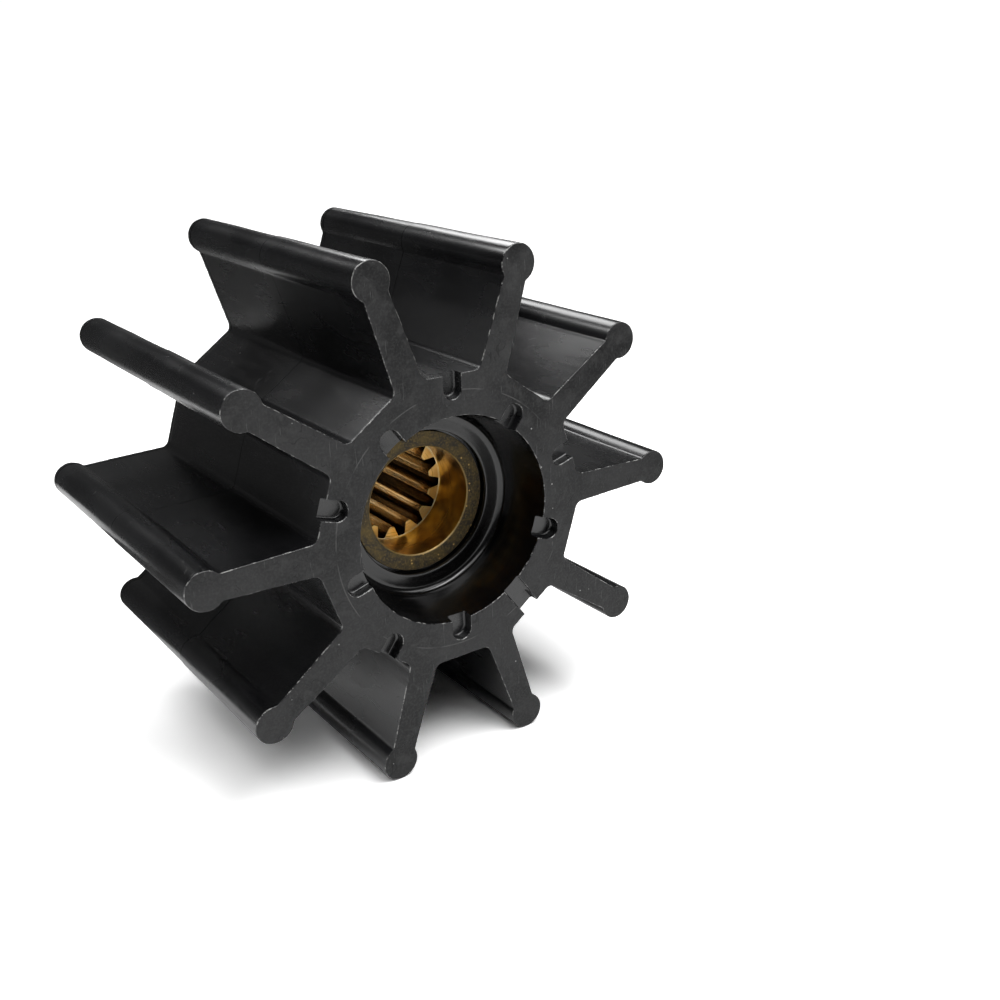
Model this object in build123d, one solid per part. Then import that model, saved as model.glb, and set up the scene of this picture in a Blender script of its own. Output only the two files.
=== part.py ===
from build123d import *
import os

# Flexible pump impeller: one rubber moulding, a hub with ten straight vanes, bonded round a
# splined bronze bush. It lies on two neighbouring vanes. The shaft axis runs along Y, the open
# recess faces the front, -Y, and the origin is on the axis at half length. Millimetres, degrees.

# Rubber moulding, outline
overall_dia = 95.2
body_length = 63.5
vane_count = 10
hub_across_flats = 51.2
vane_root_thk = 5.6
vane_neck_thk = 4.4
bead_dia = 6.6
root_fillet = 1.5
neck_fillet = 0.7

# Rubber moulding, front recess that clears the shaft nut
recess_mouth_dia = 37.0
recess_floor_dia = 34.0
recess_depth = 11.0
recess_fillet = 1.4

# Rubber moulding, notches in the front face, half open to the recess and half to the pockets
notch_depth = 2.0
inner_notch_width = 3.8
inner_notch_reach = 3.9
outer_notch_width = 3.5
outer_notch_reach = 4.2

# Rubber moulding, shallow channel from the recess to one of the outer notches
channel_width = 3.8
channel_depth = 0.4

# Bush
bush_dia = 25.8
bush_front_setback = 12.2
bush_back_setback = 0.5
pilot_dia = 20.0
pilot_depth = 9.3
pilot_chamfer = 0.25
rim_chamfer = 0.1

# Groove that the mould leaves in the rubber round the bush's front end
groove_width = 0.4
groove_depth = 0.6

# Spline in the bush
tooth_count = 14
spline_root_dia = 19.5
spline_tip_dia = 15.4
tooth_root_width = 3.1
tooth_tip_width = 1.0
tooth_tip_fillet = 0.3
first_tooth_angle = 7.0

# Worked out from the sizes above
front_y = -body_length / 2
back_y = body_length / 2
pitch_angle = 360 / vane_count
first_vane_angle = -90 + pitch_angle / 2
first_inner_notch_angle = -90
first_outer_notch_angle = first_inner_notch_angle + pitch_angle
bead_centre_radius = (overall_dia - bead_dia) / 2
inner_notch_centre = recess_mouth_dia / 2 + inner_notch_reach - inner_notch_width / 2
outer_notch_centre = hub_across_flats / 2 - outer_notch_reach + outer_notch_width / 2
bush_front_y = front_y + bush_front_setback
bush_back_y = back_y - bush_back_setback
pilot_floor_y = bush_front_y + pilot_depth
groove_floor_y = bush_front_y + groove_depth
overlap = 1.0


def cross_plane(y):
    """Plane across the axis at y, seen from the front: its x is X and its y is Z."""
    return Plane.XZ.offset(-y)


def vane_section():
    """One vane along +x: a web that thins outwards and ends in a round bead."""
    hub_end = hub_across_flats / 2 - overlap
    with BuildSketch() as section:
        with BuildLine():
            Polyline(
                (hub_end, -vane_root_thk / 2),
                (bead_centre_radius, -vane_neck_thk / 2),
                (bead_centre_radius, vane_neck_thk / 2),
                (hub_end, vane_root_thk / 2),
                close=True,
            )
        make_face()
        with Locations((bead_centre_radius, 0)):
            Circle(bead_dia / 2)
    return section.sketch


def radius_of(vertex):
    return (vertex.X**2 + vertex.Y**2) ** 0.5


def moulding_section():
    """Hub and all vanes: flat pocket floors, filleted to the webs, and webs filleted to their beads."""
    with BuildSketch() as section:
        RegularPolygon(hub_across_flats / 2, vane_count, major_radius=False, rotation=first_vane_angle)
        with PolarLocations(0, vane_count, start_angle=first_vane_angle):
            add(vane_section())
        split_radius = (hub_across_flats / 2 + bead_centre_radius) / 2
        corners = section.vertices()
        roots = [v for v in corners if radius_of(v) < split_radius]
        necks = [v for v in corners if split_radius < radius_of(v) < bead_centre_radius]
        fillet(roots, root_fillet)
        fillet(necks, neck_fillet)
    return section.sketch


def recess_cutter():
    """Turned shape of the whole bore: tapered recess, groove and the seat of the bush."""
    mouth_radius = recess_mouth_dia / 2
    floor_radius = recess_floor_dia / 2
    floor_y = front_y + recess_depth
    seat_radius = bush_dia / 2
    groove_radius = seat_radius + groove_width
    with BuildPart() as cutter:
        with BuildSketch(Plane.XY):
            with BuildLine():
                Polyline(
                    (0, front_y),
                    (mouth_radius, front_y),
                    (floor_radius, floor_y),
                    (groove_radius, floor_y),
                    (groove_radius, groove_floor_y),
                    (seat_radius, groove_floor_y),
                    (seat_radius, back_y),
                    (0, back_y),
                    close=True,
                )
            make_face()
            wall_foot = Vertex(floor_radius, floor_y, 0)
            fillet([v for v in vertices() if v.distance_to(wall_foot) < 1e-6], recess_fillet)
        revolve(axis=Axis.Y)
    return cutter.part


def notch_sections():
    """Notches in the front face: round-ended slots, turn about open inwards and outwards."""
    inner_middle = (recess_floor_dia / 2 + inner_notch_centre) / 2
    outer_middle = (hub_across_flats / 2 + outer_notch_width + outer_notch_centre) / 2
    with BuildSketch() as sections:
        with PolarLocations(0, vane_count // 2, start_angle=first_inner_notch_angle):
            SlotCenterPoint((inner_middle, 0), (inner_notch_centre, 0), inner_notch_width)
        with PolarLocations(0, vane_count // 2, start_angle=first_outer_notch_angle):
            SlotCenterPoint((outer_middle, 0), (outer_notch_centre, 0), outer_notch_width)
    return sections.sketch


def channel_section():
    """Straight channel from inside the recess to the middle of the first outer notch."""
    start = recess_floor_dia / 2
    with BuildSketch() as section:
        with PolarLocations(0, 1, start_angle=first_outer_notch_angle):
            with Locations(((start + outer_notch_centre) / 2, 0)):
                Rectangle(outer_notch_centre - start, channel_width)
    return section.sketch


def rubber_body():
    with BuildPart() as body:
        with BuildSketch(cross_plane(front_y)):
            add(moulding_section())
        extrude(amount=-body_length)
        add(recess_cutter(), mode=Mode.SUBTRACT)
        with BuildSketch(cross_plane(front_y)):
            add(notch_sections())
        extrude(amount=-notch_depth, mode=Mode.SUBTRACT)
        with BuildSketch(cross_plane(front_y)):
            add(channel_section())
        extrude(amount=-channel_depth, mode=Mode.SUBTRACT)
    return body.part


def tooth_section():
    """One internal tooth, pointing to the axis from its foot on the +x side."""
    foot = spline_root_dia / 2 + overlap / 2
    tip = spline_tip_dia / 2
    height = (spline_root_dia - spline_tip_dia) / 2
    foot_width = tooth_root_width + (tooth_root_width - tooth_tip_width) * (overlap / 2) / height
    with BuildSketch() as section:
        with BuildLine():
            Polyline(
                (foot, -foot_width / 2),
                (tip, -tooth_tip_width / 2),
                (tip, tooth_tip_width / 2),
                (foot, foot_width / 2),
                close=True,
            )
        make_face()
        fillet(section.vertices().group_by(Axis.X)[0], tooth_tip_fillet)
    return section.sketch


def splined_section():
    """The bush's section behind its pilot bore."""
    with BuildSketch() as section:
        Circle(bush_dia / 2)
        Circle(spline_root_dia / 2, mode=Mode.SUBTRACT)
        with PolarLocations(0, tooth_count, start_angle=first_tooth_angle):
            add(tooth_section())
    return section.sketch


def splined_bush():
    with BuildPart() as bush:
        with BuildSketch(cross_plane(pilot_floor_y)):
            add(splined_section())
        extrude(amount=pilot_floor_y - bush_back_y)
        with BuildSketch(cross_plane(bush_front_y)):
            Circle(bush_dia / 2)
            Circle(pilot_dia / 2, mode=Mode.SUBTRACT)
        extrude(amount=-pilot_depth)
        chamfer(bush.faces().sort_by(Axis.Y)[0].inner_wires()[0].edges(), pilot_chamfer)
        chamfer(bush.faces().sort_by(Axis.Y)[0].outer_wire().edges(), rim_chamfer)
    return bush.part


nodes = {
    "rubber_body": rubber_body(),
    "splined_bush": splined_bush(),
}

os.makedirs("parts", exist_ok=True)
for node_name, solid in nodes.items():
    export_step(solid, f"parts/{node_name}.step")
    print(node_name, round(solid.volume / 1000, 2), "cm3")
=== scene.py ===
import math

import bpy
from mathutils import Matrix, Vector


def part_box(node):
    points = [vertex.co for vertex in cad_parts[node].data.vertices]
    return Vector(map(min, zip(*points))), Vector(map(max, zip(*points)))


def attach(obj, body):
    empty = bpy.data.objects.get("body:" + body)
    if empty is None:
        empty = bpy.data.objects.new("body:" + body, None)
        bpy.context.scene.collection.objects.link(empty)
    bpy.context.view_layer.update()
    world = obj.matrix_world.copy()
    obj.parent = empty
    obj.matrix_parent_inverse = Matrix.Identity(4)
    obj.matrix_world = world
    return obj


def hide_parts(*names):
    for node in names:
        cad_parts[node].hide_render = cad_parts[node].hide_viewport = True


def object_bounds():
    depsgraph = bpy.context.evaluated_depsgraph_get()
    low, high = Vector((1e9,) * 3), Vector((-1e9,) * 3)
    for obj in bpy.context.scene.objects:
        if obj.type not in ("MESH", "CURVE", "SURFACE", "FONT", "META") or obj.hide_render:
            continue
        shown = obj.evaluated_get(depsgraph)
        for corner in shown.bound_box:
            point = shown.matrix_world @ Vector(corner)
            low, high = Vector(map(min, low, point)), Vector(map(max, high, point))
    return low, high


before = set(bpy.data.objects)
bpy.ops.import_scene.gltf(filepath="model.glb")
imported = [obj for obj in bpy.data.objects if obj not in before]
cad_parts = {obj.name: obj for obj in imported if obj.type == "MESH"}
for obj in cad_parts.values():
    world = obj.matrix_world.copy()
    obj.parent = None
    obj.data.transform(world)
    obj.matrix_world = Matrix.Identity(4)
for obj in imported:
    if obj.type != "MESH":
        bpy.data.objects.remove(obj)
cadLow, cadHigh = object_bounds()
mm = 0.001
hair = 0.02  # millimetres; nearer than this counts as the same place


class Wire:
    # an output socket, so that node maths reads as plain sums
    def __init__(self, sheet, socket):
        self.sheet = sheet
        self.socket = socket

    def maths(self, operation, *values):
        return self.sheet.node("ShaderNodeMath", {"operation": operation}, dict(enumerate(values)))

    def __add__(self, other):
        return self.maths("ADD", self, other)

    def __radd__(self, other):
        return self.maths("ADD", other, self)

    def __sub__(self, other):
        return self.maths("SUBTRACT", self, other)

    def __rsub__(self, other):
        return self.maths("SUBTRACT", other, self)

    def __mul__(self, other):
        return self.maths("MULTIPLY", self, other)

    def __rmul__(self, other):
        return self.maths("MULTIPLY", other, self)

    def __truediv__(self, other):
        return self.maths("DIVIDE", self, other)

    def __rtruediv__(self, other):
        return self.maths("DIVIDE", other, self)

    def __neg__(self):
        return self.maths("MULTIPLY", self, -1)

    def __abs__(self):
        return self.maths("ABSOLUTE", self)

    def __gt__(self, other):
        return self.maths("GREATER_THAN", self, other)

    def __lt__(self, other):
        return self.maths("LESS_THAN", self, other)


class Sheet:
    # one node tree, geometry or shader, and the ways to add to it
    def __init__(self, tree):
        self.tree = tree

    def node(self, kind, settings=None, sockets=None, out=0):
        made = self.tree.nodes.new(kind)
        made.location = (180 * len(self.tree.nodes), 0)
        for name, value in (settings or {}).items():
            setattr(made, name, value)
        for key, value in (sockets or {}).items():
            for part in value if isinstance(value, list) else [value]:
                if isinstance(part, Wire):
                    self.tree.links.new(part.socket, made.inputs[key])
                else:
                    made.inputs[key].default_value = part
        return Wire(self, made.outputs[out]) if len(made.outputs) else made

    # vectors
    def vector(self, x=0.0, y=0.0, z=0.0):
        return self.node("ShaderNodeCombineXYZ", sockets={"X": x, "Y": y, "Z": z})

    def part(self, vector, axis):
        return self.node("ShaderNodeSeparateXYZ", sockets={0: vector}, out="XYZ".index(axis))

    def scaled(self, vector, factor):
        return self.node("ShaderNodeVectorMath", {"operation": "SCALE"}, {0: vector, "Scale": factor})

    def length(self, vector):
        return self.node("ShaderNodeVectorMath", {"operation": "LENGTH"}, {0: vector}, out="Value")

    # values and colours
    def ramp(self, value, low, high, start=0.0, end=1.0):
        return self.node(
            "ShaderNodeMapRange",
            {"interpolation_type": "SMOOTHSTEP", "clamp": True},
            {"Value": value, "From Min": low, "From Max": high, "To Min": start, "To Max": end},
        )

    def blend(self, factor, first, second):
        # a Mix node has a set of sockets for each kind of value; 6, 7 and output 2 are the colours
        return self.node("ShaderNodeMix", {"data_type": "RGBA"}, {0: factor, 6: first, 7: second}, out=2)

    def noise(self, place, scale, detail=2.0, roughness=0.5, distortion=0.0):
        return self.node(
            "ShaderNodeTexNoise",
            sockets={
                "Vector": place,
                "Scale": scale,
                "Detail": detail,
                "Roughness": roughness,
                "Distortion": distortion,
            },
        )


def emptySheet(owner):
    # for a material or a world, without the nodes that it comes with
    owner.use_nodes = True
    owner.node_tree.nodes.clear()
    return Sheet(owner.node_tree)


def linked(name, data):
    # a new object at the origin of the scene
    made = bpy.data.objects.new(name, data)
    bpy.context.scene.collection.objects.link(made)
    return made


# Geometry trees: small pieces that both trees use


def newTree(name, sizes, materials):
    # a geometry tree with one named input for each size and material
    tree = bpy.data.node_groups.new(name, "GeometryNodeTree")
    tree.interface.new_socket("Geometry", in_out="INPUT", socket_type="NodeSocketGeometry")
    tree.interface.new_socket("Geometry", in_out="OUTPUT", socket_type="NodeSocketGeometry")
    for key, value in sizes.items():
        kind = "NodeSocketInt" if isinstance(value, int) else "NodeSocketFloat"
        tree.interface.new_socket(key, in_out="INPUT", socket_type=kind)
    for key in materials:
        tree.interface.new_socket(key, in_out="INPUT", socket_type="NodeSocketMaterial")
    sheet = Sheet(tree)
    entry = tree.nodes.new("NodeGroupInput")
    inputs = {socket.name: Wire(sheet, socket) for socket in entry.outputs if socket.name}
    return sheet, inputs


def turnedCopies(sheet, geometry, count, firstAngle):
    # copies of a shape round the Z axis; angles in degrees
    index = sheet.node("GeometryNodeInputIndex")
    angle = (firstAngle + index * 360 / count) * math.radians(1)
    points = sheet.node("GeometryNodePoints", sockets={"Count": count})
    copies = sheet.node(
        "GeometryNodeInstanceOnPoints",
        sockets={"Points": points, "Instance": geometry, "Rotation": sheet.vector(z=angle)},
    )
    return sheet.node("GeometryNodeRealizeInstances", sockets={"Geometry": copies})


def merged(sheet, geometry, distance=0.004):
    return sheet.node("GeometryNodeMergeByDistance", sockets={"Geometry": geometry, "Distance": distance})


def joined(sheet, *pieces):
    return sheet.node("GeometryNodeJoinGeometry", sockets={"Geometry": list(pieces)[::-1]})


def moved(sheet, geometry, offset):
    return sheet.node("GeometryNodeTransform", sockets={"Geometry": geometry, "Translation": offset})


def shifted(sheet, geometry, offset):
    # each point by its own offset
    return sheet.node("GeometryNodeSetPosition", sockets={"Geometry": geometry, "Offset": offset})


def masked(sheet, vector, axes):
    return sheet.node("ShaderNodeVectorMath", {"operation": "MULTIPLY"}, {0: vector, 1: axes})


def axisDistance(sheet, place, across=(1, 0, 1)):
    # how far a place is from the shaft's axis, which runs along Y in the frame and along Z in the trees
    return sheet.length(masked(sheet, place, across))


def levelled(sheet, curve):
    # a flat curve with its normals along Z, so that a profile stands upright on it
    return sheet.node("GeometryNodeSetCurveNormal", {"mode": "Z_UP"}, {"Curve": curve})


def closedOutline(sheet, sector, count, firstAngle):
    # the input holds one sector as a chain of edges; its copies close into one outline
    chain = merged(sheet, turnedCopies(sheet, sector, count, firstAngle))
    return levelled(sheet, sheet.node("GeometryNodeMeshToCurve", sockets={"Mesh": chain}))


def circle(sheet, radius, resolution):
    sockets = {"Resolution": resolution, "Radius": radius}
    return levelled(sheet, sheet.node("GeometryNodeCurvePrimitiveCircle", sockets=sockets))


def line(sheet, start, end, points=2):
    straight = sheet.node(
        "GeometryNodeCurvePrimitiveLine",
        sockets={"Start": sheet.vector(*start), "End": sheet.vector(*end)},
    )
    return sheet.node("GeometryNodeResampleCurve", sockets={"Curve": straight, "Count": points})


def arc(sheet, centre, radius, start, sweep, points):
    bow = sheet.node(
        "GeometryNodeCurveArc",
        sockets={
            "Resolution": points,
            "Radius": radius,
            "Start Angle": math.radians(start),
            "Sweep Angle": math.radians(sweep),
        },
    )
    return moved(sheet, bow, sheet.vector(*centre))


def chained(sheet, *curves):
    # lines and arcs that meet end to end become one curve
    wires = sheet.node("GeometryNodeCurveToMesh", sockets={"Curve": joined(sheet, *curves)})
    return sheet.node("GeometryNodeMeshToCurve", sockets={"Mesh": merged(sheet, wires)})


def swept(sheet, outline, profile, outwards=True):
    # a wall: the profile's x runs out from the outline and its y up the axis, drawn from the top down
    upright = sheet.node("GeometryNodeTransform", sockets={"Geometry": profile, "Scale": (1, -1, 1)})
    wall = sheet.node("GeometryNodeCurveToMesh", sockets={"Curve": outline, "Profile Curve": upright})
    return wall if outwards else sheet.node("GeometryNodeFlipFaces", sockets={"Mesh": wall})


def capAt(sheet, walls, level, facingUp, tolerance=0.01):
    # the flat face between all open wall edges that lie at one level
    edgeFaces = sheet.node("GeometryNodeInputMeshEdgeNeighbors")
    height = sheet.part(sheet.node("GeometryNodeInputPosition"), "Z")
    rim = (edgeFaces < 1.5) * (abs(height - level) < tolerance)  # an open edge has one face
    loops = sheet.node("GeometryNodeMeshToCurve", sockets={"Mesh": walls, "Selection": rim})
    flat = sheet.node("GeometryNodeFillCurve", {"mode": "NGONS"}, {"Curve": loops})
    lifted = moved(sheet, flat, sheet.vector(z=level))
    return lifted if facingUp else sheet.node("GeometryNodeFlipFaces", sockets={"Mesh": lifted})


def finished(sheet, geometry, paints, sharpAngle=26):
    # turn into the frame, in metres, with crisp edges kept crisp, then realise and paint
    framed = sheet.node(
        "GeometryNodeTransform",
        sockets={"Geometry": geometry, "Rotation": (math.radians(90), 0, 0), "Scale": (mm, mm, mm)},
    )
    smooth = sheet.node(
        "GeometryNodeSetShadeSmooth", {"domain": "FACE"}, {"Geometry": framed, "Shade Smooth": True}
    )
    edgeAngle = sheet.node("GeometryNodeInputMeshEdgeAngle")
    crisp = sheet.node(
        "GeometryNodeSetShadeSmooth",
        {"domain": "EDGE"},
        {"Geometry": smooth, "Selection": edgeAngle > math.radians(sharpAngle), "Shade Smooth": False},
    )
    result = sheet.node("GeometryNodeRealizeInstances", sockets={"Geometry": crisp})
    for selection, material in paints:
        sockets = {"Geometry": result, "Material": material}
        if selection is not None:
            sockets["Selection"] = selection
        result = sheet.node("GeometryNodeSetMaterial", sockets=sockets)
    sheet.node("NodeGroupOutput", sockets={"Geometry": result})


def meshFromTree(name, sector, tree, values):
    # runs a tree on one sector and keeps the result as a plain mesh
    base = bpy.data.meshes.new(name + "Sector")
    base.from_pydata([(p.x, p.y, 0) for p in sector], [(i, i + 1) for i in range(len(sector) - 1)], [])
    base.materials.append(next(v for v in values.values() if isinstance(v, bpy.types.Material)))
    carrier = linked(name + "Carrier", base)
    modifier = carrier.modifiers.new("tree", "NODES")
    modifier.node_group = tree
    for socket in tree.interface.items_tree:
        if socket.in_out == "INPUT" and socket.name in values:
            modifier[socket.identifier] = values[socket.name]
    ready = carrier.evaluated_get(bpy.context.evaluated_depsgraph_get())
    mesh = bpy.data.meshes.new_from_object(ready)
    carrier.modifiers.remove(modifier)
    bpy.data.objects.remove(carrier)
    while mesh.materials[0] is None:  # an empty slot can come first
        mesh.materials.pop(index=0)
    mesh.name = name
    return linked(name, mesh)


# Flat shapes drawn point by point


def arcPoints(centre, radius, start, end, step):
    # both ends included, angles in radians
    count = max(2, math.ceil(abs(end - start) * radius / step))
    angles = [start + (end - start) * i / count for i in range(count + 1)]
    return [centre + radius * Vector((math.cos(a), math.sin(a))) for a in angles]


def linePoints(start, end, step):
    # both ends left out, because the arcs beside them hold those
    count = max(1, math.ceil((end - start).length / step))
    return [start.lerp(end, i / count) for i in range(1, count)]


def lineCrossing(start, along, otherStart, otherAlong):
    # where two lines meet, each given by a point and a direction
    across = Vector((-otherAlong.y, otherAlong.x))
    return start + along * (otherStart - start).dot(across) / along.dot(across)


def filletCentre(start, direction, side, lift, centre, reach, first):
    # centre of a round that is lift away from a line and reach away from another centre
    origin = start + side * lift - centre
    along = origin.dot(direction)
    root = math.sqrt(along * along - origin.length_squared + reach * reach)
    travel = -along - root if first else -along + root
    return start + direction * travel, start + direction * travel + side * lift


def angleOf(vector):
    return math.atan2(vector.y, vector.x)


def mirroredBack(points):
    return [Vector((p.x, -p.y)) for p in reversed(points)]


# The rubber moulding: hub, vanes and everything moulded or trimmed in them

rubberLow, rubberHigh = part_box("rubber_body")
bushLow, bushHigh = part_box("splined_bush")

mouldingSizes = {
    "vaneCount": 10,
    "firstVane": -72.0,
    "bodyLength": (rubberHigh.y - rubberLow.y) / mm,
    "overallDia": (rubberHigh.x - rubberLow.x) / mm,
    "hubFlats": 51.2,
    "vaneRoot": 5.6,
    "vaneNeck": 4.4,
    "beadDia": 6.6,
    "rootFillet": 1.5,
    "neckFillet": 0.7,
    "outlineStep": 0.55,
    "edgeRadius": 0.16,
    "flatLip": 0.45,
    "shortRow": 0.3,  # a row beside each crisp edge, so that the shading stays flat up to it
    "partingWidth": 0.32,
    "partingDepth": 0.26,
    "partingStep": 0.09,
    "partingStart": 20.0,  # the parting line marks all that is farther from the axis than this
    "partingWander": 0.9,
    "wanderScale": 0.16,
    "wanderReach": 1.2,  # how far from the line the skin still wanders with it, and fully within wanderFull
    "wanderFull": 0.4,
    "partingCracks": 0.14,
    "crackScale": 0.55,
    "crackReach": 0.06,
    "lipPlace": 1.3,  # the thin lip at the back end, set off by a shallow line
    "lipWidth": 0.28,
    "lipDepth": 0.22,
    "lipStart": 41.0,  # the lip's line gets the painted shade on the beads alone
    "waviness": 0.22,
    "waveScale": 0.07,
    "waveStart": 24.0,  # no waves nearer to the axis than this, and all of them past waveFull
    "waveFull": 32.0,
    "shrink": 0.0012,  # keeps the waves inside the moulding's box
    "nicks": 0.15,
    "nickScale": 0.9,
    "nickReach": 0.6,  # nicks lie this near to an end, and are deepest nearer than nickFull
    "nickFull": 0.2,
    "nickStart": 17.0,
    "recessMouth": 37.0,
    "recessFloor": 34.0,
    "recessDepth": 11.0,
    "recessFillet": 1.4,
    "grooveDia": 26.6,
    "grooveBottom": 12.8,
    "seatDia": (bushHigh.x - bushLow.x) / mm,
    "ringSteps": 168,
    "notchDepth": 2.0,
    "notchFloorRadius": 0.45,
    "notchFlare": 0.1,
    "innerNotchWidth": 3.8,
    "innerNotchReach": 3.9,
    "innerOverrun": 4.0,  # how far the cutters run out into the recess and into the pockets
    "outerNotchWidth": 3.5,
    "outerNotchReach": 4.2,
    "outerOverrun": 8.0,
    "channelWidth": 3.8,
    "channelDepth": 0.4,
    "channelFloorRadius": 0.25,
    "channelCorner": 0.3,
}
roundEnd = 0.4999  # corner radius of a slot as a share of its width, just under a half circle


def vaneSector(s):
    # from the middle of one flat pocket floor over a vane, which lies along +x, to the next
    pocketAngle = math.pi / s["vaneCount"]
    floorOut = Vector((math.cos(pocketAngle), math.sin(pocketAngle)))
    floorAlong = Vector((floorOut.y, -floorOut.x))
    floorMiddle = floorOut * s["hubFlats"] / 2
    beadRadius = s["beadDia"] / 2
    beadCentre = Vector(((s["overallDia"] - s["beadDia"]) / 2, 0))
    webStart = Vector((s["hubFlats"] / 2 - 1, s["vaneRoot"] / 2))  # a millimetre inside the hub
    webEnd = Vector((beadCentre.x, s["vaneNeck"] / 2))
    along = (webEnd - webStart).normalized()
    side = Vector((-along.y, along.x))
    step = s["outlineStep"]
    filletStep = step / 3
    round_ = s["rootFillet"]
    rootCentre = lineCrossing(floorMiddle + floorOut * round_, floorAlong, webStart + side * round_, along)
    neckOnWeb, neckCentre = filletCentre(
        webStart, along, side, s["neckFillet"], beadCentre, beadRadius + s["neckFillet"], True
    )
    neckFromWeb = angleOf(neckOnWeb - neckCentre)
    neckToBead = angleOf(beadCentre - neckCentre)
    beadAngle = angleOf(neckCentre - beadCentre)
    half = [floorMiddle] + linePoints(floorMiddle, rootCentre - floorOut * round_, step)
    half += arcPoints(rootCentre, round_, angleOf(-floorOut), angleOf(-side), filletStep)
    half += linePoints(rootCentre - side * round_, neckOnWeb, step)
    half += arcPoints(neckCentre, s["neckFillet"], neckFromWeb, neckToBead, filletStep)
    half += arcPoints(beadCentre, beadRadius, beadAngle, 0, step)[1:]
    return (half + mirroredBack(half)[1:])[::-1]


def notchCutters(sheet, size, width, start, end, corner, depth, floorRound, count, firstAngle):
    # slots with rounded corners, a flared mouth and a rounded floor, turned to their places round the face;
    # start and end are measured from the axis
    top = size["bodyLength"] / 2
    flare = size["notchFlare"]
    slot = sheet.node(
        "GeometryNodeCurvePrimitiveQuadrilateral",
        sockets={"Width": end - start, "Height": width},
    )
    slot = sheet.node(
        "GeometryNodeFilletCurve",
        {"mode": "POLY"},
        {"Curve": slot, "Count": 10, "Radius": corner},
    )
    slot = moved(sheet, slot, sheet.vector((start + end) / 2))
    slot = merged(sheet, sheet.node("GeometryNodeCurveToMesh", sockets={"Curve": slot}))
    slot = levelled(sheet, sheet.node("GeometryNodeMeshToCurve", sockets={"Mesh": slot}))
    above = top + flare
    profile = chained(
        sheet,
        line(sheet, (flare * 2, above), (0, top - flare)),
        line(sheet, (0, top - flare), (0, top - depth + floorRound)),
        arc(sheet, (-floorRound, top - depth + floorRound), floorRound, 0, -90, 6),
    )
    wall = swept(sheet, slot, profile)
    caps = capAt(sheet, wall, above, True), capAt(sheet, wall, top - depth, False)
    return turnedCopies(sheet, merged(sheet, joined(sheet, wall, *caps)), count, firstAngle)


def carved(sheet, solid, cutters):
    return sheet.node(
        "GeometryNodeMeshBoolean",
        {"operation": "DIFFERENCE", "solver": "EXACT"},
        {"Mesh 1": solid, "Mesh 2": cutters},
        out="Mesh",
    )


def wobble(sheet, place, scale):
    # smooth noise round zero, one value for each axis
    sockets = {"Vector": place, "Scale": scale, "Detail": 2.0}
    noise = sheet.node("ShaderNodeTexNoise", sockets=sockets, out="Color")
    return sheet.node("ShaderNodeVectorMath", {"operation": "SUBTRACT"}, {0: noise, 1: (0.5, 0.5, 0.5)})


def weathered(sheet, solid, size):
    # marks the lines that the mould left, for their material, then makes the moulding a little uneven
    across = (1, 1, 0)
    half = size["bodyLength"] / 2
    place = sheet.node("GeometryNodeInputPosition")
    height = sheet.part(place, "Z")
    level = abs(height)
    radius = axisDistance(sheet, place, across)
    parted = radius > size["partingStart"]
    lipLine = (abs(height - size["lipPlace"] + half) < hair) * (radius > size["lipStart"])
    seam = {"Geometry": solid, "Name": "seam", "Value": (level < hair) * parted + lipLine}
    solid = sheet.node("GeometryNodeStoreNamedAttribute", {"data_type": "FLOAT", "domain": "POINT"}, seam)

    # the vanes: drawn in a touch, to stay inside the box, then waved
    outside = sheet.ramp(radius, size["waveStart"], size["waveFull"])
    solid = shifted(sheet, solid, masked(sheet, sheet.scaled(place, -size["shrink"] * outside), across))
    waves = sheet.scaled(wobble(sheet, place, size["waveScale"]), size["waviness"] * outside)
    solid = shifted(sheet, solid, masked(sheet, waves, across))

    # nicks along both ends
    atEnds = sheet.ramp(level, half - size["nickReach"], half - size["nickFull"])
    atEnds = atEnds * (radius > size["nickStart"])
    nicks = sheet.scaled(wobble(sheet, place, size["nickScale"]), size["nicks"] * atEnds)
    solid = shifted(sheet, solid, masked(sheet, nicks, across))

    # the parting line: an uneven bottom, and a wandering course
    crack = sheet.part(wobble(sheet, place, size["crackScale"]), "X")
    normal = sheet.node("GeometryNodeInputNormal")
    bottom = sheet.ramp(level, size["crackReach"], hair) * parted
    solid = shifted(sheet, solid, sheet.scaled(normal, bottom * crack * size["partingCracks"]))
    stray = sheet.part(wobble(sheet, place, size["wanderScale"]), "Y")
    near = sheet.ramp(level, size["wanderReach"], size["wanderFull"])
    return shifted(sheet, solid, sheet.vector(0.0, 0.0, stray * size["partingWander"] * near * parted))


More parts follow.
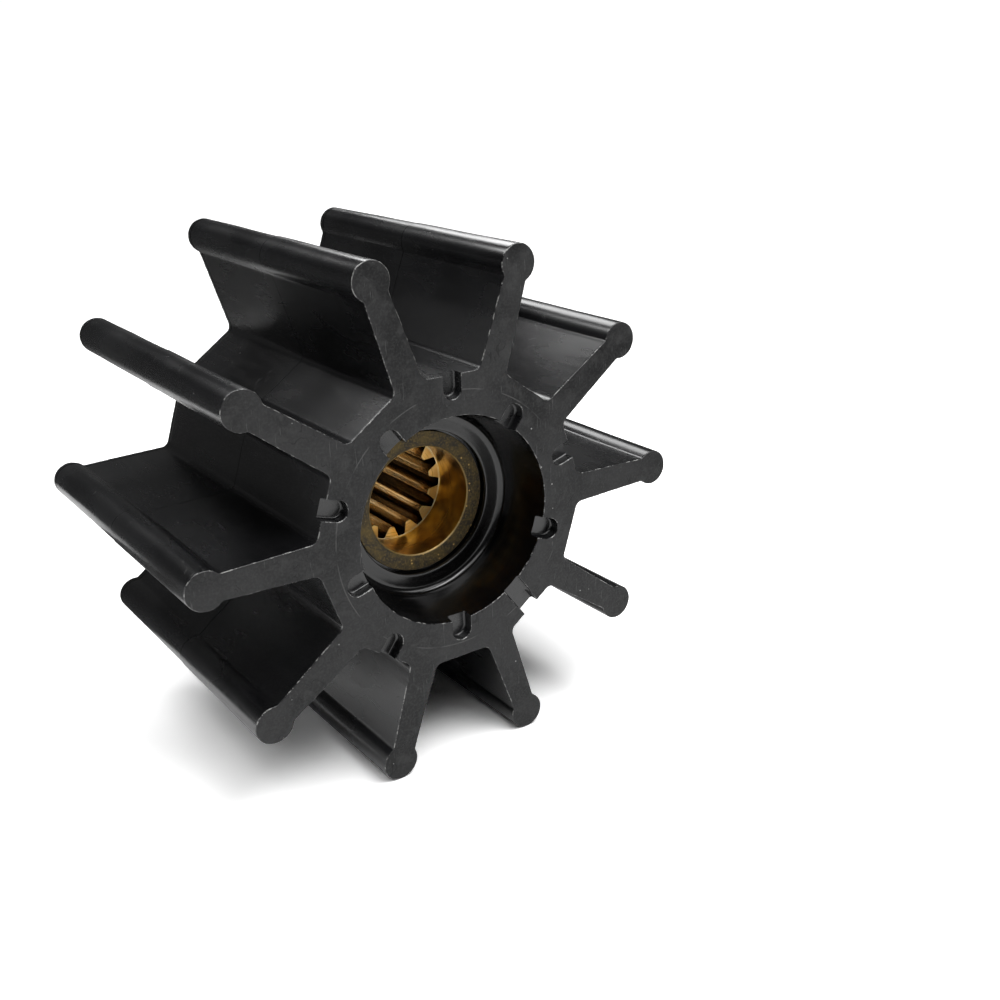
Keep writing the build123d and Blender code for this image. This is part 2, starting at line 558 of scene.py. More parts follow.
def mouldingTree(sizes, materials):
    sheet, size = newTree("impellerMoulding", sizes, materials)
    half = size["bodyLength"] / 2
    edge = size["edgeRadius"]
    lip = edge + size["flatLip"]
    step = size["partingStep"]
    groove = size["partingWidth"] / 2
    beside = size["shortRow"]
    lipLine = size["lipPlace"] - half
    lipHalf = size["lipWidth"] / 2
    outline = closedOutline(sheet, size["Geometry"], size["vaneCount"], size["firstVane"])
    side = chained(
        sheet,
        line(sheet, (-lip, half), (-edge, half)),
        arc(sheet, (-edge, half - edge), edge, 90, -90, 5),
        line(sheet, (0, half - edge), (0, half - edge - beside)),
        line(sheet, (0, half - edge - beside), (0, groove + beside), 8),
        line(sheet, (0, groove + beside), (0, groove)),
        line(sheet, (0, groove), (-size["partingDepth"], 0)),
        line(sheet, (-size["partingDepth"], 0), (-step, -groove)),
        line(sheet, (-step, -groove), (-step, -groove - beside)),
        line(sheet, (-step, -groove - beside), (-step, lipLine + lipHalf + beside), 8),
        line(sheet, (-step, lipLine + lipHalf + beside), (-step, lipLine + lipHalf)),
        line(sheet, (-step, lipLine + lipHalf), (-step - size["lipDepth"], lipLine)),
        line(sheet, (-step - size["lipDepth"], lipLine), (-step, lipLine - lipHalf)),
        line(sheet, (-step, lipLine - lipHalf), (-step, edge - half)),
        arc(sheet, (-edge - step, edge - half), edge, 0, -90, 5),
        line(sheet, (-edge - step, -half), (-lip - step, -half)),
    )
    outside = swept(sheet, outline, side)

    # the recess and the bush's seat, turned; x is measured from the mouth's radius
    mouth = size["recessMouth"] / 2
    floorX = size["recessFloor"] / 2 - mouth
    grooveX = size["grooveDia"] / 2 - mouth
    seatX = size["seatDia"] / 2 - mouth
    floorY = half - size["recessDepth"]
    grooveY = half - size["grooveBottom"]
    round_ = size["recessFillet"]
    bore = chained(
        sheet,
        line(sheet, (lip, half), (edge, half)),
        arc(sheet, (edge, half - edge), edge, 90, 90, 5),
        line(sheet, (0, half - edge), (floorX, floorY + round_), 9),
        arc(sheet, (floorX - round_, floorY + round_), round_, 0, -90, 9),
        line(sheet, (floorX - round_, floorY), (grooveX + edge, floorY), 7),
        arc(sheet, (grooveX + edge, floorY - edge), edge, 90, 90, 5),
        line(sheet, (grooveX, floorY - edge), (grooveX, grooveY)),
        line(sheet, (grooveX, grooveY), (seatX, grooveY)),
        line(sheet, (seatX, grooveY), (seatX, edge - half)),
        arc(sheet, (seatX + edge, edge - half), edge, 180, 90, 5),
        line(sheet, (seatX + edge, -half), (seatX + lip, -half)),
    )
    inside = swept(sheet, circle(sheet, mouth, size["ringSteps"]), bore, False)
    walls = joined(sheet, outside, inside)
    caps = capAt(sheet, walls, half, True), capAt(sheet, walls, -half, False)
    solid = merged(sheet, joined(sheet, walls, *caps))

    # notches in the front face, by turns open to the recess and to the pockets, and one shallow channel
    start = mouth - size["innerOverrun"]
    innerEnd = mouth + size["innerNotchReach"]
    outerEnd = size["hubFlats"] / 2 - size["outerNotchReach"]
    firstOuter = 360 / size["vaneCount"] - 90
    inner, outer = size["innerNotchWidth"], size["outerNotchWidth"]
    notch = {
        "depth": size["notchDepth"],
        "floorRound": size["notchFloorRadius"],
        "count": size["vaneCount"] / 2,
    }
    notches = joined(
        sheet,
        notchCutters(sheet, size, inner, start, innerEnd, inner * roundEnd, firstAngle=-90.0, **notch),
        notchCutters(
            sheet,
            size,
            outer,
            outerEnd,
            outerEnd + size["outerOverrun"],
            outer * roundEnd,
            firstAngle=firstOuter,
            **notch,
        ),
    )
    channel = notchCutters(
        sheet,
        size,
        size["channelWidth"],
        start,
        outerEnd + outer / 2,
        size["channelCorner"],
        depth=size["channelDepth"],
        floorRound=size["channelFloorRadius"],
        count=1,
        firstAngle=firstOuter,
    )
    cut = carved(sheet, carved(sheet, solid, notches), channel)
    cut = weathered(sheet, cut, size)

    # what is painted: the flat ends, the recess and the mould's lines; places are in the frame by then
    endBand = 0.1
    place = sheet.node("GeometryNodeInputPosition")
    radius = axisDistance(sheet, place)
    depth = sheet.part(place, "Y")
    facing = abs(sheet.part(sheet.node("GeometryNodeInputNormal"), "Y"))
    end = (facing > 0.9) * (abs(depth) > (half - endBand) * mm)
    hollow = (radius < (mouth - hair) * mm) * (depth < (endBand - half) * -mm)
    seam = sheet.node("GeometryNodeInputNamedAttribute", {"data_type": "FLOAT"}, {"Name": "seam"})
    paints = [
        (None, size["mouldedRubber"]),
        (hollow, size["recessRubber"]),
        (end, size["trimmedRubber"]),
        # the mould's lines: painted shade in their bottoms, with a little talc
        (seam > 0.3, size["mouldLineShadeAndTalc"]),
    ]
    finished(sheet, cut, paints)
    return sheet.tree


# The bronze bush

bushSizes = {
    "toothCount": 14,
    "firstTooth": 7.0,
    "bushLength": (bushHigh.y - bushLow.y) / mm,
    "bushDia": (bushHigh.x - bushLow.x) / mm,
    "pilotDia": 20.0,
    "pilotDepth": 9.3,
    "pilotChamfer": 0.25,
    "rimChamfer": 0.1,
    "rootDia": 19.5,
    "tipDia": 15.4,
    "toothRoot": 3.1,
    "toothTip": 1.0,
    "tipFillet": 0.3,
    "gapFillet": 0.22,
    "gapStep": 0.15,
    "filletStep": 0.06,
    "edgeRadius": 0.12,
    "flatLip": 0.1,
    "ringSteps": 140,
}


def toothSector(s):
    # from the middle of one gap over a tooth, which points at the axis from +x, to the next gap
    rootRadius = s["rootDia"] / 2
    tipRadius = s["tipDia"] / 2
    foot = Vector((rootRadius, s["toothRoot"] / 2))
    crest = Vector((tipRadius, s["toothTip"] / 2))
    along = (crest - foot).normalized()
    flankAngle = angleOf(-along)
    gapAngle = math.pi / s["toothCount"]
    gapSide = Vector((along.y, -along.x))
    gapSide = gapSide if gapSide.y > 0 else -gapSide
    footOnFlank, footCentre = filletCentre(
        foot, -along, gapSide, s["gapFillet"], Vector((0, 0)), rootRadius - s["gapFillet"], False
    )
    footAngle = angleOf(footCentre)
    towardsFlank = angleOf(footOnFlank - footCentre)
    fillet = s["tipFillet"]
    step = s["filletStep"]
    reach = fillet * math.tan(abs(math.pi / 2 - flankAngle) / 2)
    tipOnFlank = crest - along * reach
    tipCentre = tipOnFlank - gapSide * fillet
    half = arcPoints(Vector((0, 0)), rootRadius, gapAngle, footAngle, s["gapStep"])
    half += arcPoints(footCentre, s["gapFillet"], footAngle, towardsFlank, step)[1:]
    half += [tipOnFlank]
    half += arcPoints(tipCentre, fillet, angleOf(gapSide), math.pi, step)[1:]
    return (half + mirroredBack(half))[::-1]


def bushTree(sizes, materials):
    sheet, size = newTree("splinedBush", sizes, materials)
    top = size["bushLength"] / 2
    floorY = top - size["pilotDepth"]
    edge = size["edgeRadius"]
    lip = edge + size["flatLip"]
    chamfer = size["pilotChamfer"]
    rim = size["rimChamfer"]
    pilot = size["pilotDia"] / 2
    outer = size["bushDia"] / 2
    teeth = closedOutline(sheet, size["Geometry"], size["toothCount"], size["firstTooth"])
    toothWall = swept(
        sheet,
        teeth,
        chained(
            sheet,
            line(sheet, (lip, floorY), (edge, floorY)),
            arc(sheet, (edge, floorY - edge), edge, 90, 90, 4),
            line(sheet, (0, floorY - edge), (0, edge - top), 12),
            arc(sheet, (edge, edge - top), edge, 180, 90, 4),
            line(sheet, (edge, -top), (lip, -top)),
        ),
        False,
    )
    pilotWall = swept(
        sheet,
        circle(sheet, pilot, size["ringSteps"]),
        chained(
            sheet,
            line(sheet, (chamfer + lip, top), (chamfer, top)),
            line(sheet, (chamfer, top), (0, top - chamfer)),
            line(sheet, (0, top - chamfer), (0, floorY), 8),
        ),
        False,
    )
    outerWall = swept(
        sheet,
        circle(sheet, outer, size["ringSteps"]),
        chained(
            sheet,
            line(sheet, (-rim - lip, top), (-rim, top)),
            line(sheet, (-rim, top), (0, top - rim)),
            line(sheet, (0, top - rim), (0, rim - top)),
            line(sheet, (0, rim - top), (-rim, -top)),
        ),
    )
    walls = joined(sheet, toothWall, pilotWall, outerWall)
    solid = joined(
        sheet,
        walls,
        capAt(sheet, walls, top, True),
        capAt(sheet, walls, floorY, True),
        capAt(sheet, walls, -top, False),
    )
    middle = (bushLow.y + bushHigh.y) / 2 / mm
    placed = moved(sheet, merged(sheet, solid), (0, 0, -middle))

    # what is painted: the teeth's ends, the pilot bore and both ends; places are in the frame by then
    place = sheet.node("GeometryNodeInputPosition")
    radius = axisDistance(sheet, place)
    inFront = sheet.part(place, "Y") < (middle - floorY - hair) * mm
    facing = sheet.part(sheet.node("GeometryNodeInputNormal"), "Y")
    atFace = sheet.part(place, "Y") < (middle - top + chamfer) * mm
    paints = [
        (None, size["splineBronze"]),
        (facing < -0.6, size["toothEndBronze"]),
        (inFront * (radius < (pilot + hair) * mm), size["pilotBronze"]),
        (atFace, size["faceBronze"]),
        (facing > 0.6, size["faceBronze"]),
    ]
    finished(sheet, placed, paints, sharpAngle=35)
    return sheet.tree


# Materials. Places are in millimetres, from Object coordinates. Each look holds a material's colours.


def newMaterial(name):
    material = bpy.data.materials.new(name)
    sheet = emptySheet(material)
    coordinates = sheet.node("ShaderNodeTexCoord", out="Object")
    return material, sheet, sheet.scaled(coordinates, 1 / mm)


def shade(sheet, constants, links, bump, bumpStrength, bumpDistance):
    # the surface: fixed numbers sit on the shader's own sockets
    normal = sheet.node(
        "ShaderNodeBump",
        sockets={"Strength": bumpStrength, "Distance": bumpDistance * mm, "Height": bump},
    )
    sockets = {**constants, **links, "Normal": normal}
    surface = sheet.node("ShaderNodeBsdfPrincipled", sockets=sockets)
    sheet.node("ShaderNodeOutputMaterial", sockets={"Surface": surface})


def stretched(sheet, place, scale, turn=(0, 0, 0)):
    return sheet.node("ShaderNodeMapping", sockets={"Vector": place, "Scale": scale, "Rotation": turn})


def specks(sheet, place, spacing, size, share):
    # scattered dots; share is how many cells hold one
    cells = {"feature": "F1", "distance": "EUCLIDEAN"}
    sockets = {"Vector": place, "Scale": 1 / spacing}
    distance = sheet.node("ShaderNodeTexVoronoi", cells, sockets, out="Distance")
    chance = sheet.part(sheet.node("ShaderNodeTexVoronoi", cells, sockets, out="Color"), "X")
    return sheet.ramp(distance, size / spacing, 0.4 * size / spacing) * (chance < share)


def scratches(sheet, place, turn, spacing, length, cut):
    # thin broken lines along one direction
    rows = stretched(sheet, place, (1 / spacing, 1 / length, 1 / length), turn)
    ripple = sheet.noise(rows, 1.0, 3.0, 0.6, 0.15)
    return sheet.ramp(ripple, cut, cut + 0.03)


def contours(sheet, place, scale, width, share):
    # thin curling lines, broken up; share is about how much of them is left
    noise = sheet.noise(place, scale, 2.0, 0.5, 0.8)
    left = sheet.noise(place, scale * 1.7, 2.0)
    return sheet.ramp(abs(noise - 0.5), width, width * 0.3) * sheet.ramp(left, 0.68 - share, 0.72 - share)


def rimWearAndHighlightLine(sheet, place, width):
    # the pale, broken line along the moulding's two ends: partly wear, partly a painted highlight on the rims
    depth = sheet.part(place, "Y")
    end = -rubberLow.y / mm
    broken = sheet.noise(place, 0.7, 4.0, 0.8)
    return sheet.ramp(abs(depth), end - width, end - 0.08) * sheet.ramp(broken, 0.5, 0.6)


mouldedLook = {
    "deep": (0.003, 0.0031, 0.0035, 1),
    "pale": (0.0085, 0.0087, 0.0095, 1),
    "stroke": (0.011, 0.011, 0.0113, 1),
    "scratch": (0.05, 0.05, 0.049, 1),
    # partly wear, partly a painted highlight on the rims
    "rimWearAndHighlight": (0.3, 0.3, 0.29, 1),
    "dust": (0.26, 0.26, 0.25, 1),
}


def mouldedRubber(look):
    # the skin from the mould, on the vanes and pockets: glossy, faintly clouded, a little dusty
    material, sheet, place = newMaterial("mouldedRubber")
    cloud = sheet.noise(place, 0.05, 1.0, 0.5)
    strokes = sheet.noise(stretched(sheet, place, (0.5, 0.1, 0.5), (0.35, 0.1, 0.6)), 1.0, 2.0, 0.5, 0.4)
    dust = specks(sheet, place, spacing=2.8, size=0.16, share=0.18)
    curls = contours(sheet, place, scale=0.11, width=0.005, share=0.16)
    marks = scratches(sheet, place, turn=(0.3, 0.5, 0.7), spacing=0.4, length=9.0, cut=0.72)
    rimWearAndHighlight = rimWearAndHighlightLine(sheet, place, width=0.26)
    tone = sheet.blend(sheet.ramp(cloud, 0.3, 0.7), look["deep"], look["pale"])
    tone = sheet.blend(sheet.ramp(strokes, 0.5, 0.75) * 0.3, tone, look["stroke"])
    tone = sheet.blend(marks * 0.25 + curls * 0.15, tone, look["scratch"])
    # the ends' pale line: partly wear, partly a painted highlight on the rims
    tone = sheet.blend(rimWearAndHighlight * 0.85, tone, look["rimWearAndHighlight"])
    tone = sheet.blend(dust * 0.7, tone, look["dust"])
    roughness = sheet.ramp(cloud, 0.3, 0.7, 0.23, 0.29) + sheet.ramp(strokes, 0.35, 0.75, -0.01, 0.02)
    shade(
        sheet,
        {"IOR": 1.6},
        {"Base Color": tone, "Roughness": roughness},
        cloud * 0.8 - curls * 0.04,
        bumpStrength=0.5,
        bumpDistance=0.35,
    )
    return material


partingLook = {
    "deep": (0.0015, 0.0015, 0.0015, 1),
    "talc": (0.014, 0.014, 0.014, 1),
}


def mouldLineShadeAndTalc(look):
    # the bottom of the lines that the mould left: painted shade, near black and dull, with a little talc in
    # them
    material, sheet, place = newMaterial("mouldLineShadeAndTalc")
    talc = sheet.ramp(sheet.noise(place, 0.8, 3.0, 0.6), 0.58, 0.7)
    tone = sheet.blend(talc * 0.5, look["deep"], look["talc"])
    roughness = sheet.ramp(talc, 0.0, 1.0, 0.8, 0.95)
    shade(
        sheet,
        {"Specular IOR Level": 0.12},
        {"Base Color": tone, "Roughness": roughness},
        talc,
        bumpStrength=0.3,
        bumpDistance=0.1,
    )
    return material


trimmedLook = {
    "deep": (0.0045, 0.0046, 0.005, 1),
    "pale": (0.021, 0.021, 0.0215, 1),
    "patch": (0.04, 0.04, 0.04, 1),
    "grain": (0.044, 0.044, 0.044, 1),
    "nick": (0.004, 0.004, 0.004, 1),
    "scratch": (0.1, 0.1, 0.098, 1),
    "dust": (0.42, 0.42, 0.41, 1),
    "ringRadius": 22.9,  # a faint circle that the trimming tool left
}


def trimmedRubber(look):
    # both ends, cut and buffed: dull, grained and scratched
    material, sheet, place = newMaterial("trimmedRubber")
    cloud = sheet.noise(place, 0.07, 3.0, 0.6)
    grain = sheet.noise(place, 2.4, 4.0, 0.7)
    patch = sheet.noise(place, 0.32, 4.0, 0.6, 0.5)
    dust = specks(sheet, place, spacing=2.2, size=0.17, share=0.24)
    nicks = specks(sheet, place, spacing=5.0, size=0.32, share=0.16)
    first = scratches(sheet, place, turn=(0, 0.6, 0), spacing=0.32, length=6.0, cut=0.68)
    second = scratches(sheet, place, turn=(0, -0.9, 0), spacing=0.36, length=5.0, cut=0.7)
    marks = sheet.node("ShaderNodeMath", {"operation": "MAXIMUM"}, {0: first, 1: second})
    curls = contours(sheet, place, scale=0.13, width=0.005, share=0.24)
    ring = sheet.ramp(abs(axisDistance(sheet, place) - look["ringRadius"]), 0.14, 0.04)
    ring = ring * sheet.ramp(sheet.noise(place, 0.16, 2.0), 0.46, 0.6)
    tone = sheet.blend(sheet.ramp(cloud, 0.36, 0.64), look["deep"], look["pale"])
    tone = sheet.blend(sheet.ramp(patch, 0.5, 0.68) * 0.5, tone, look["patch"])
    tone = sheet.blend(sheet.ramp(grain, 0.4, 0.7) * 0.4, tone, look["grain"])
    tone = sheet.blend(curls * 0.55 + nicks * 0.6, tone, look["nick"])
    tone = sheet.blend(marks * 0.45, tone, look["scratch"])
    tone = sheet.blend(ring * 0.5, tone, look["scratch"])
    tone = sheet.blend(dust * 0.9, tone, look["dust"])
    roughness = sheet.ramp(cloud, 0.3, 0.7, 0.46, 0.62) + sheet.ramp(patch, 0.3, 0.7, -0.07, 0.07)
    shade(
        sheet,
        {"IOR": 1.37},
        {"Base Color": tone, "Roughness": roughness},
        grain * 0.12 + cloud * 0.4 - marks * 0.1 - ring * 0.25 - curls * 0.4 - nicks * 0.5,
        bumpStrength=0.45,
        bumpDistance=0.3,
    )
    return material


def ringed(sheet, place, across, along):
    # place on a turned surface: angle, radius and depth, stretched so that marks run round it
    x = sheet.part(place, "X")
    z = sheet.part(place, "Z")
    angle = sheet.node("ShaderNodeMath", {"operation": "ARCTAN2"}, {0: z, 1: x})
    radius = sheet.length(sheet.vector(x, 0.0, z))
    return sheet.vector(angle * along, radius * across, sheet.part(place, "Y") * across)


recessLook = {
    # deep: darker than the moulded skin's, as painted shade in the hollow
    "deep": (0.0015, 0.0015, 0.0016, 1),
    "streak": (0.004, 0.004, 0.004, 1),
    # partly wear, partly a painted highlight on the mouth's rim
    "rimWearAndHighlight": (0.26, 0.26, 0.25, 1),
    "dust": (0.2, 0.2, 0.2, 1),
}


def recessRubber(look):
    # the recess: smooth, nearly black and darker than the moulded skin as painted shade in the hollow, with
    # faint streaks round it
    material, sheet, place = newMaterial("recessRubber")
    streaks = sheet.noise(ringed(sheet, place, 1.6, 1.2), 1.0, 3.0, 0.5, 0.3)
    cloud = sheet.noise(place, 0.15, 2.0)
    dust = specks(sheet, place, spacing=3.0, size=0.16, share=0.1)
    rimWearAndHighlight = rimWearAndHighlightLine(sheet, place, width=0.24)
    tone = sheet.blend(sheet.ramp(streaks, 0.55, 0.8), look["deep"], look["streak"])
    # the mouth's pale line: partly wear, partly a painted highlight on the rim
    tone = sheet.blend(rimWearAndHighlight * 0.8, tone, look["rimWearAndHighlight"])
    tone = sheet.blend(dust * 0.5, tone, look["dust"])
    roughness = sheet.ramp(streaks, 0.3, 0.7, 0.15, 0.2)
    shade(
        sheet,
        {"IOR": 1.55},
        {"Base Color": tone, "Roughness": roughness},
        streaks * 0.02 + cloud * 0.6,
        bumpStrength=0.4,
        bumpDistance=0.25,
    )
    return material


faceLook = {
    "deep": (0.022, 0.018, 0.01, 1),
    "stain": (0.085, 0.062, 0.026, 1),
    "grain": (0.19, 0.13, 0.045, 1),
    "pit": (0.012, 0.009, 0.005, 1),
    "gold": (0.7, 0.45, 0.14, 1),
    "chamfer": (0.6, 0.4, 0.14, 1),
}


def faceBronze(look):
    # both ends of the bush, dull and stained, with bright grains, and a brighter chamfer round the front bore
    material, sheet, place = newMaterial("faceBronze")
    radius = axisDistance(sheet, place)
    bore = bushSizes["pilotDia"] / 2
    mottle = sheet.noise(place, 0.5, 4.0, 0.65, 0.6)
    fine = sheet.noise(place, 2.6, 4.0, 0.75)
    gold = specks(sheet, place, spacing=0.8, size=0.2, share=0.25)
    pits = specks(sheet, place, spacing=1.6, size=0.3, share=0.25)
    rings = sheet.noise(ringed(sheet, place, 6.0, 1.5), 1.0, 2.0)
    front = sheet.part(place, "Y") < 0
    chamfer = sheet.ramp(radius, bore + bushSizes["pilotChamfer"], bore + 0.05) * front
    tone = sheet.blend(sheet.ramp(mottle, 0.36, 0.66), look["deep"], look["stain"])
    tone = sheet.blend(sheet.ramp(fine, 0.48, 0.68) * 0.7, tone, look["grain"])
    tone = sheet.blend(pits * 0.7, tone, look["pit"])
    tone = sheet.blend(gold * 0.8, tone, look["gold"])
    tone = sheet.blend(chamfer * 0.6, tone, look["chamfer"])
    roughness = sheet.ramp(fine, 0.3, 0.7, 0.36, 0.55)
    metallic = sheet.ramp(mottle, 0.3, 0.7, 0.45, 0.8) - chamfer * 0.2
    shade(
        sheet,
        {},
        {"Base Color": tone, "Roughness": roughness, "Metallic": metallic},
        fine * 0.5 + rings * 0.15 - pits * 0.5,
        bumpStrength=0.5,
        bumpDistance=0.1,
    )
    return material


pilotLook = {
    "deep": (0.19, 0.09, 0.006, 1),
    "bright": (0.6, 0.34, 0.045, 1),
}


def pilotBronze(look):
    # the turned bore in front of the teeth
    material, sheet, place = newMaterial("pilotBronze")
    rings = sheet.noise(ringed(sheet, place, 3.0, 0.5), 1.0, 2.0, 0.5)
    stain = sheet.noise(place, 0.16, 2.0, 0.5, 0.4)
    tone = sheet.blend(sheet.ramp(stain, 0.35, 0.66), look["deep"], look["bright"])
    roughness = sheet.ramp(rings, 0.3, 0.7, 0.27, 0.34)
    shade(
        sheet,
        {"Metallic": 1.0},
        {"Base Color": tone, "Roughness": roughness},
        rings * 0.05 + stain * 2.0,
        bumpStrength=0.3,
        bumpDistance=0.15,
    )
    return material


splineLook = {
    # gap is painted shade; crest and bright are the bronze lightened as a painted highlight
    "gap": (0.07, 0.035, 0.006, 1),
    "crest": (0.98, 0.74, 0.42, 1),
    "bright": (1.0, 0.88, 0.66, 1),
}


def splineBronze(look):
    # broached teeth: painted highlights on the crests, and painted shade in the gaps
    material, sheet, place = newMaterial("splineBronze")
    radius = axisDistance(sheet, place)
    tip, root = bushSizes["tipDia"] / 2, bushSizes["rootDia"] / 2
    broach = sheet.noise(stretched(sheet, place, (1.6, 0.02, 1.6)), 1.0, 1.0, 0.5)
    stain = sheet.noise(place, 0.2, 1.0)
    # painted by radius: shade deep in the gaps, a highlight towards the crests
    crest = sheet.ramp(radius, root - 0.45, tip + 0.8)
    bright = sheet.blend(sheet.ramp(stain, 0.35, 0.7), look["crest"], look["bright"])
    tone = sheet.blend(crest, look["gap"], bright)
    roughness = sheet.ramp(broach, 0.3, 0.7, 0.17, 0.22)
    shade(
        sheet,
        {"Metallic": 1.0},
        {"Base Color": tone, "Roughness": roughness},
        stain,
        bumpStrength=0.1,
        bumpDistance=0.05,
    )
    return material


toothEndLook = {
    "stain": (0.88, 0.6, 0.2, 1),
    "bright": (1.0, 0.8, 0.4, 1),
    "foot": (1.0, 0.88, 0.55, 1),
}


def toothEndBronze(look):
    # the turned ends of the teeth, with a painted highlight in a thin ring at their feet
    material, sheet, place = newMaterial("toothEndBronze")
    rings = sheet.noise(ringed(sheet, place, 5.0, 1.0), 1.0, 2.0)
    stain = sheet.noise(place, 0.3, 2.0)
    root = bushSizes["rootDia"] / 2
    # painted highlight: a thin bright ring at the teeth's feet
    foot = sheet.ramp(axisDistance(sheet, place), root - 0.15, root)
    tone = sheet.blend(sheet.ramp(stain, 0.3, 0.7), look["stain"], look["bright"])
    tone = sheet.blend(foot, tone, look["foot"])
    roughness = sheet.ramp(rings, 0.3, 0.7, 0.26, 0.4)
    shade(
        sheet,
        {"Metallic": 0.6},
        {"Base Color": tone, "Roughness": roughness},
        rings * 0.2,
        bumpStrength=0.3,
        bumpDistance=0.1,
    )
    return material


# Building the pieces

rubberMaterials = {
    "mouldedRubber": mouldedRubber(mouldedLook),
    "trimmedRubber": trimmedRubber(trimmedLook),
    "recessRubber": recessRubber(recessLook),
    "mouldLineShadeAndTalc": mouldLineShadeAndTalc(partingLook),
}
body = meshFromTree(
    "impellerMoulding",
    vaneSector(mouldingSizes),
    mouldingTree(mouldingSizes, rubberMaterials),
    {**mouldingSizes, **rubberMaterials},
)
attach(body, "root")
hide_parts("rubber_body")
print("rubber moulding:", len(body.data.vertices), "vertices,", len(body.data.polygons), "faces")

bronzeMaterials = {
    "faceBronze": faceBronze(faceLook),
    "pilotBronze": pilotBronze(pilotLook),
    "splineBronze": splineBronze(splineLook),
    "toothEndBronze": toothEndBronze(toothEndLook),
}
bush = meshFromTree(
    "bushInsert",
    toothSector(bushSizes),
    bushTree(bushSizes, bronzeMaterials),
    {**bushSizes, **bronzeMaterials},
)
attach(bush, "root")
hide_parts("splined_bush")
print("bronze bush:", len(bush.data.vertices), "vertices,", len(bush.data.polygons), "faces")


# Floor, light and camera

stageSizes = {
    "floorHalf": 8.0,
    "paper": 0.9,
    "seenPaper": 0.65,  # how much whiter the paper looks to the camera
    "glossPaper": 0.1,  # and in the gloss
    "surroundTop": (0.06, 0.12),  # where white fades into the room in the gloss: sines of two heights
    "room": 0.025,
    "lampPower": 2.6,
    "lampWidth": 74,
    "lampTurn": (10, -4, 0),
}

# soft panels: place, aim, width and height in metres, and brightness, where 1 shows as white in the gloss
panels = {
    "backLeft": ((-0.085, 0.15, 0.215), (0.0, 0.0, 0.03), (0.11, 0.06), 8.0),
    "backRight": ((0.1, 0.15, 0.165), (0.0, 0.0, 0.03), (0.1, 0.09), 6.0),
    "sideCard": ((-0.13, 0.02, -0.005), (0.0, 0.02, -0.005), (0.11, 0.05), 1.5),
    "frontCard": ((0.2, -0.27, 0.2), (0.0, -0.02, 0.0), (0.2, 0.12), 3.0),
    "topCard": ((0.09, -0.165, 0.27), (0.0, -0.02, -0.02), (0.3, 0.09), 6.0),
}

# dark cards that only the gloss sees: two opposite corners of each, and how bright they look there
flagTone = 0.07
flagCards = {
    "backFlag": ((-0.32, 0.17, -0.045), (0.32, 0.17, 0.075)),
    "leftFlag": ((-0.3, 0.095, -0.045), (-0.09, 0.095, 0.02)),
    "nearFlag": ((-0.09, 0.045, -0.045), (-0.01, 0.045, -0.02)),
    "rightFlag": ((0.13, -0.3, -0.045), (0.13, -0.05, 0.05)),
}


def buildFloor(s):
    half = s["floorHalf"]
    mesh = bpy.data.meshes.new("floor")
    corners = [(-half, -half), (half, -half), (half, half), (-half, half)]
    mesh.from_pydata([(x, y, cadLow.z) for x, y in corners], [], [(0, 1, 2, 3)])
    floor = linked("floor", mesh)
    material = bpy.data.materials.new("palePaper")
    sheet = emptySheet(material)
    camera, glossy, through = seenRays(sheet)
    white = ((camera + through) * s["seenPaper"] + glossy * s["glossPaper"] + 1) * s["paper"]
    paper = sheet.node("ShaderNodeBsdfDiffuse", sockets={"Color": sheet.vector(white, white, white)})
    sheet.node("ShaderNodeOutputMaterial", sockets={"Surface": paper})
    mesh.materials.append(material)


def buildFlags(cards, tone):
    material = bpy.data.materials.new("darkCard")
    sheet = emptySheet(material)
    dark = sheet.node("ShaderNodeEmission", sockets={"Color": (1, 1, 1, 1), "Strength": tone})
    sheet.node("ShaderNodeOutputMaterial", sockets={"Surface": dark})
    for name, ((startX, startY, low), (endX, endY, high)) in cards.items():
        corners = [(startX, startY, low), (endX, endY, low), (endX, endY, high), (startX, startY, high)]
        mesh = bpy.data.meshes.new(name)
        mesh.from_pydata(corners, [], [(0, 1, 2, 3)])
        mesh.materials.append(material)
        card = linked(name, mesh)
        card.visible_camera = card.visible_diffuse = card.visible_shadow = False


def seenRays(sheet):
    # what the camera sees by itself, by way of gloss and metal, and through glass
    kinds = ("Is Camera Ray", "Is Glossy Ray", "Is Transmission Ray")
    return [sheet.node("ShaderNodeLightPath", out=kind) for kind in kinds]


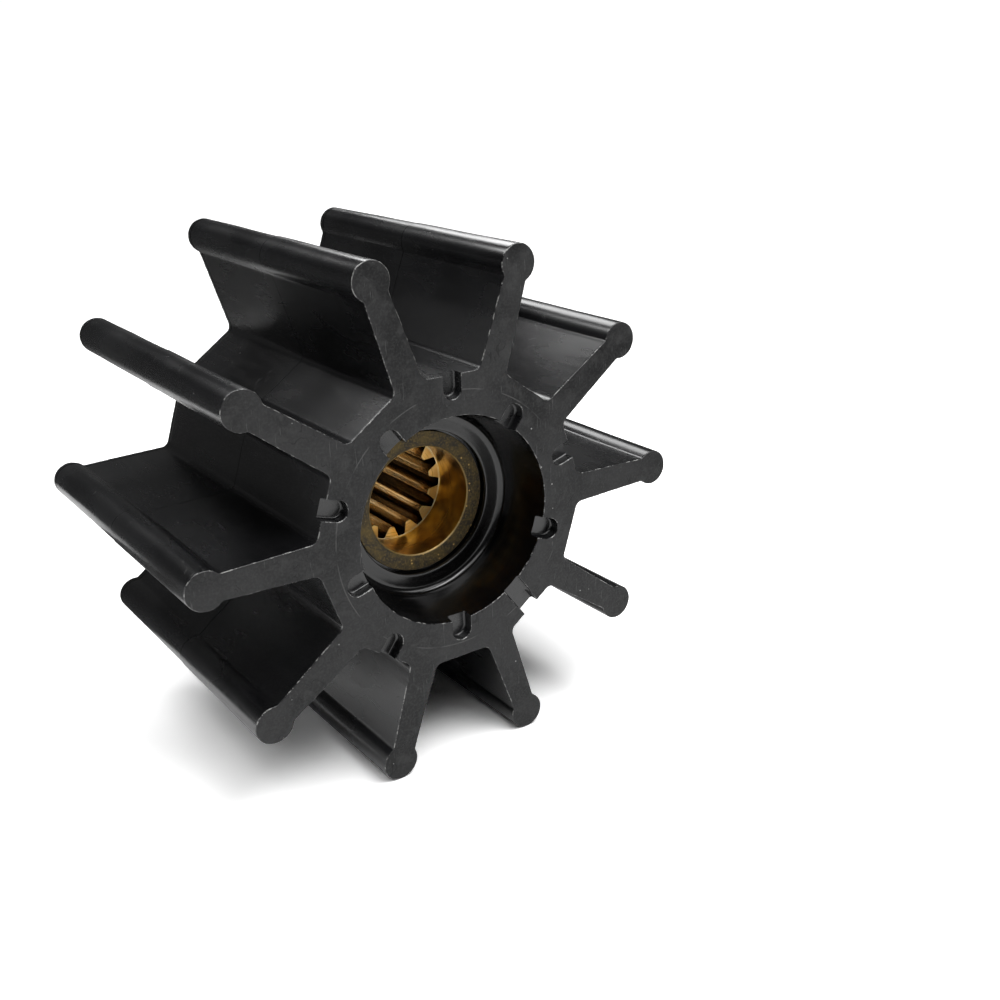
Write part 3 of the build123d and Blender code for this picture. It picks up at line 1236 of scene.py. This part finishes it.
def aimed(name, data, place, aim):
    made = linked(name, data)
    made.location = place
    made.rotation_euler = (Vector(aim) - Vector(place)).to_track_quat("-Z", "Y").to_euler()
    return made


def buildLight(s):
    world = bpy.data.worlds.new("studio")
    bpy.context.scene.world = world
    sheet = emptySheet(world)
    height = sheet.part(sheet.node("ShaderNodeTexCoord", out="Generated"), "Z")
    camera, glossy, through = seenRays(sheet)
    seen = sheet.node("ShaderNodeMath", {"operation": "MINIMUM"}, {0: glossy + through, 1: 1.0})
    band = sheet.ramp(height, *s["surroundTop"], 1.0, 0.0) * seen + camera
    white = {"Color": (1, 1, 1, 1), "Strength": band + s["room"]}
    surround = sheet.node("ShaderNodeBackground", sockets=white)
    sheet.node("ShaderNodeOutputWorld", sockets={"Surface": surround})
    lamp = bpy.data.lights.new("softbox", "SUN")
    lamp.energy = s["lampPower"]
    lamp.angle = math.radians(s["lampWidth"])
    softbox = linked("softbox", lamp)
    softbox.rotation_euler = [math.radians(a) for a in s["lampTurn"]]
    for name, (place, aim, size, brightness) in panels.items():
        lamp = bpy.data.lights.new(name, "AREA")
        lamp.shape = "RECTANGLE"
        lamp.size, lamp.size_y = size
        lamp.energy = brightness * math.pi * size[0] * size[1]
        aimed(name, lamp, place, aim).visible_camera = False


cameraSizes = {
    "place": (-98.83, -186.80, 73.31),
    "aim": (30.45, -26.98, -4.81),
    "sensor": 36,
    "lens": 41.77,
    "shift": -0.08,
    "nearest": 0.01,  # metres, as the farthest is
    "farthest": 50,
}


def buildCamera(s):
    data = bpy.data.cameras.new("camera")
    data.sensor_width = s["sensor"]
    data.lens = s["lens"]
    data.shift_x = s["shift"]
    data.clip_start = s["nearest"]
    data.clip_end = s["farthest"]
    bpy.context.scene.camera = aimed("camera", data, Vector(s["place"]) * mm, Vector(s["aim"]) * mm)


buildFloor(stageSizes)
buildFlags(flagCards, flagTone)
buildLight(stageSizes)
buildCamera(cameraSizes)
bpy.context.scene.view_settings.view_transform = "Standard"
print("floor, light and camera are set")
